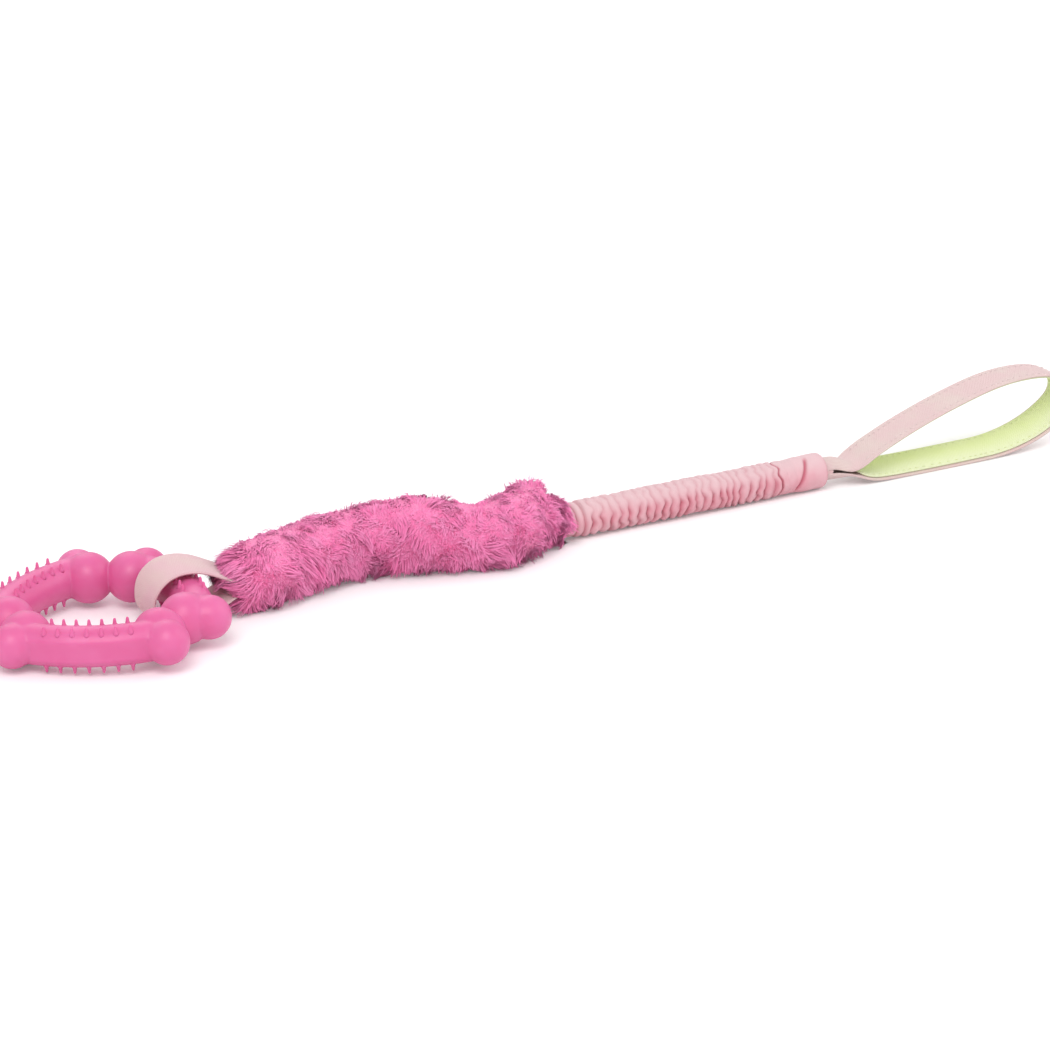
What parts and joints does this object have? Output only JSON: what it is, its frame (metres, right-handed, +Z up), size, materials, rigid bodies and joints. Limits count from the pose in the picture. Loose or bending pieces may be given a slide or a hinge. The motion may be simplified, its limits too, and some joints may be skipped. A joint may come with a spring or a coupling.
{
  "type": "bungee tug toy",
  "caption": "Dog tug toy: chew ring of three nubbed rubber bones on a webbing tab, plush fur sleeve, gathered elastic bungee and a lined webbing hand loop.",
  "frame": {"origin": "on the floor plane under the middle of the toy's box", "axes": "+X from the chew ring along the toy to the handle, +Z up from the surface it lies on, +Y to the left of someone looking along +X"},
  "size_m": [0.696, 0.1384, 0.0477],
  "materials": {
    "ring_rubber": "soft gloss moulded rubber",
    "pale_webbing": "woven webbing",
    "core_webbing": "woven webbing, hidden",
    "pink_plush": "long pile plush",
    "wadding": "soft fibre filling",
    "salmon_cloth": "gathered cloth",
    "whipping_thread": "wound thread",
    "elastic_cord": "covered elastic cord",
    "lime_lining": "soft lining tape"
  },
  "bodies": {
    "sleeve": {"fur_sleeve": "pink_plush", "core_strap": "core_webbing", "upper_wadding": "wadding", "lower_wadding": "wadding"},
    "ring_tab": {"ring_strap": "pale_webbing"},
    "ring": {"chew_ring": "ring_rubber"},
    "bungee_head": {"bungee_tongue": "core_webbing", "front_collar": "salmon_cloth", "front_whipping": "whipping_thread", "ruched_sleeve": "salmon_cloth", "bungee_cord_upper": "elastic_cord", "bungee_cord_lower": "elastic_cord"},
    "bungee_tail": {"rear_cuff": "salmon_cloth", "rear_whipping": "whipping_thread", "handle_tail": "pale_webbing"},
    "handle": {"handle_webbing": "pale_webbing", "handle_lining": "lime_lining"}
  },
  "joints": [
    {"name": "ring_tab_flex", "type": "hinge", "parent": "sleeve", "child": "ring_tab", "pos_m": [-0.20288, 0, 0.01651], "axis": [0, 1, 0], "range_deg": [-40, 40]},
    {"name": "ring_swing", "type": "hinge", "parent": "ring_tab", "child": "ring", "pos_m": [-0.23357, 0, 0.01651], "axis": [0, 1, 0], "range_deg": [-120, 120]},
    {"name": "neck_flex", "type": "hinge", "parent": "sleeve", "child": "bungee_head", "pos_m": [-0.00137, 0.006, 0.01035], "axis": [0, 0, 1], "range_deg": [-40, 40]},
    {"name": "bungee_stretch", "type": "slide", "parent": "bungee_head", "child": "bungee_tail", "axis": [1, 0, 0], "range_m": [0, 0.12], "stiffness_N_per_m": 300, "deforming": ["ruched_sleeve", "bungee_cord_upper", "bungee_cord_lower"]},
    {"name": "handle_flex", "type": "hinge", "parent": "bungee_tail", "child": "handle", "pos_m": [0.17573, 0.006, 0.01035], "axis": [0, 1, 0], "range_deg": [-75, 75]}
  ]
}
